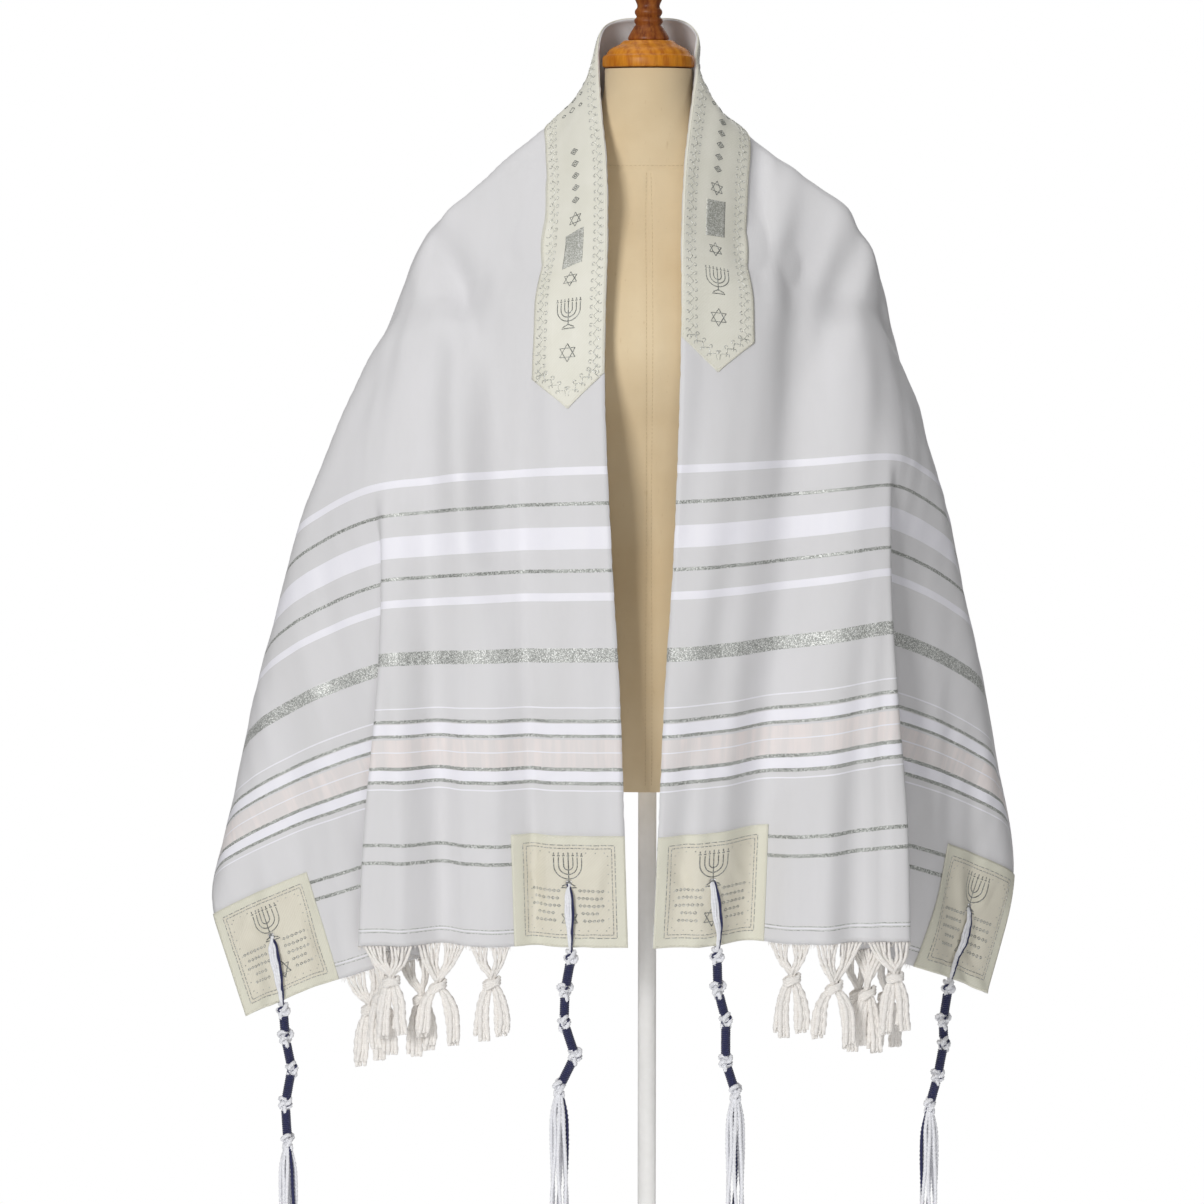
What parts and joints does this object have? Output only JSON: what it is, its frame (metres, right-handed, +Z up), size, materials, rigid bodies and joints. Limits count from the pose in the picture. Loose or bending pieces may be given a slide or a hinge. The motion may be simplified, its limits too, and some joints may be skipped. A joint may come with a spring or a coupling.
{
  "type": "prayer shawl on a dress form",
  "caption": "Fringed rectangular prayer shawl with neckband, corner patches and knotted corner tassels, draped over the shoulders of a limbless dress form on a stand.",
  "frame": {"origin": "on the floor, at the centre of the stand's round base", "axes": "+Z up along the stand's pole, -Y towards the front opening of the shawl, +X to the viewer's right from the front"},
  "size_m": [0.8414, 0.3623, 1.5511],
  "materials": {
    "cloth": "fine off-white weave with white satin, silver and pale pink stripes",
    "brocade": "ivory brocade with silver thread",
    "tassel_wool": "twisted white and navy wool",
    "fringe_wool": "soft cream white yarn",
    "jersey": "tan linen jersey",
    "pale_wood": "varnished, golden",
    "dark_wood": "varnished, reddish brown",
    "lacquer": "satin white"
  },
  "bodies": {
    "root": {"shawl_cloth": "cloth", "neckband": "brocade", "patch_inner_left": "brocade", "patch_far_left": "brocade", "patch_inner_right": "brocade", "patch_far_right": "brocade", "tzitzit_inner_left": "tassel_wool", "tzitzit_far_left": "tassel_wool", "tzitzit_inner_right": "tassel_wool", "tzitzit_far_right": "tassel_wool", "fringe_left": "fringe_wool", "fringe_right": "fringe_wool", "dress_form": "jersey", "neck_cap": "pale_wood", "finial": "dark_wood", "stand_pole": "lacquer", "stand_base": "lacquer"}
  },
  "joints": []
}
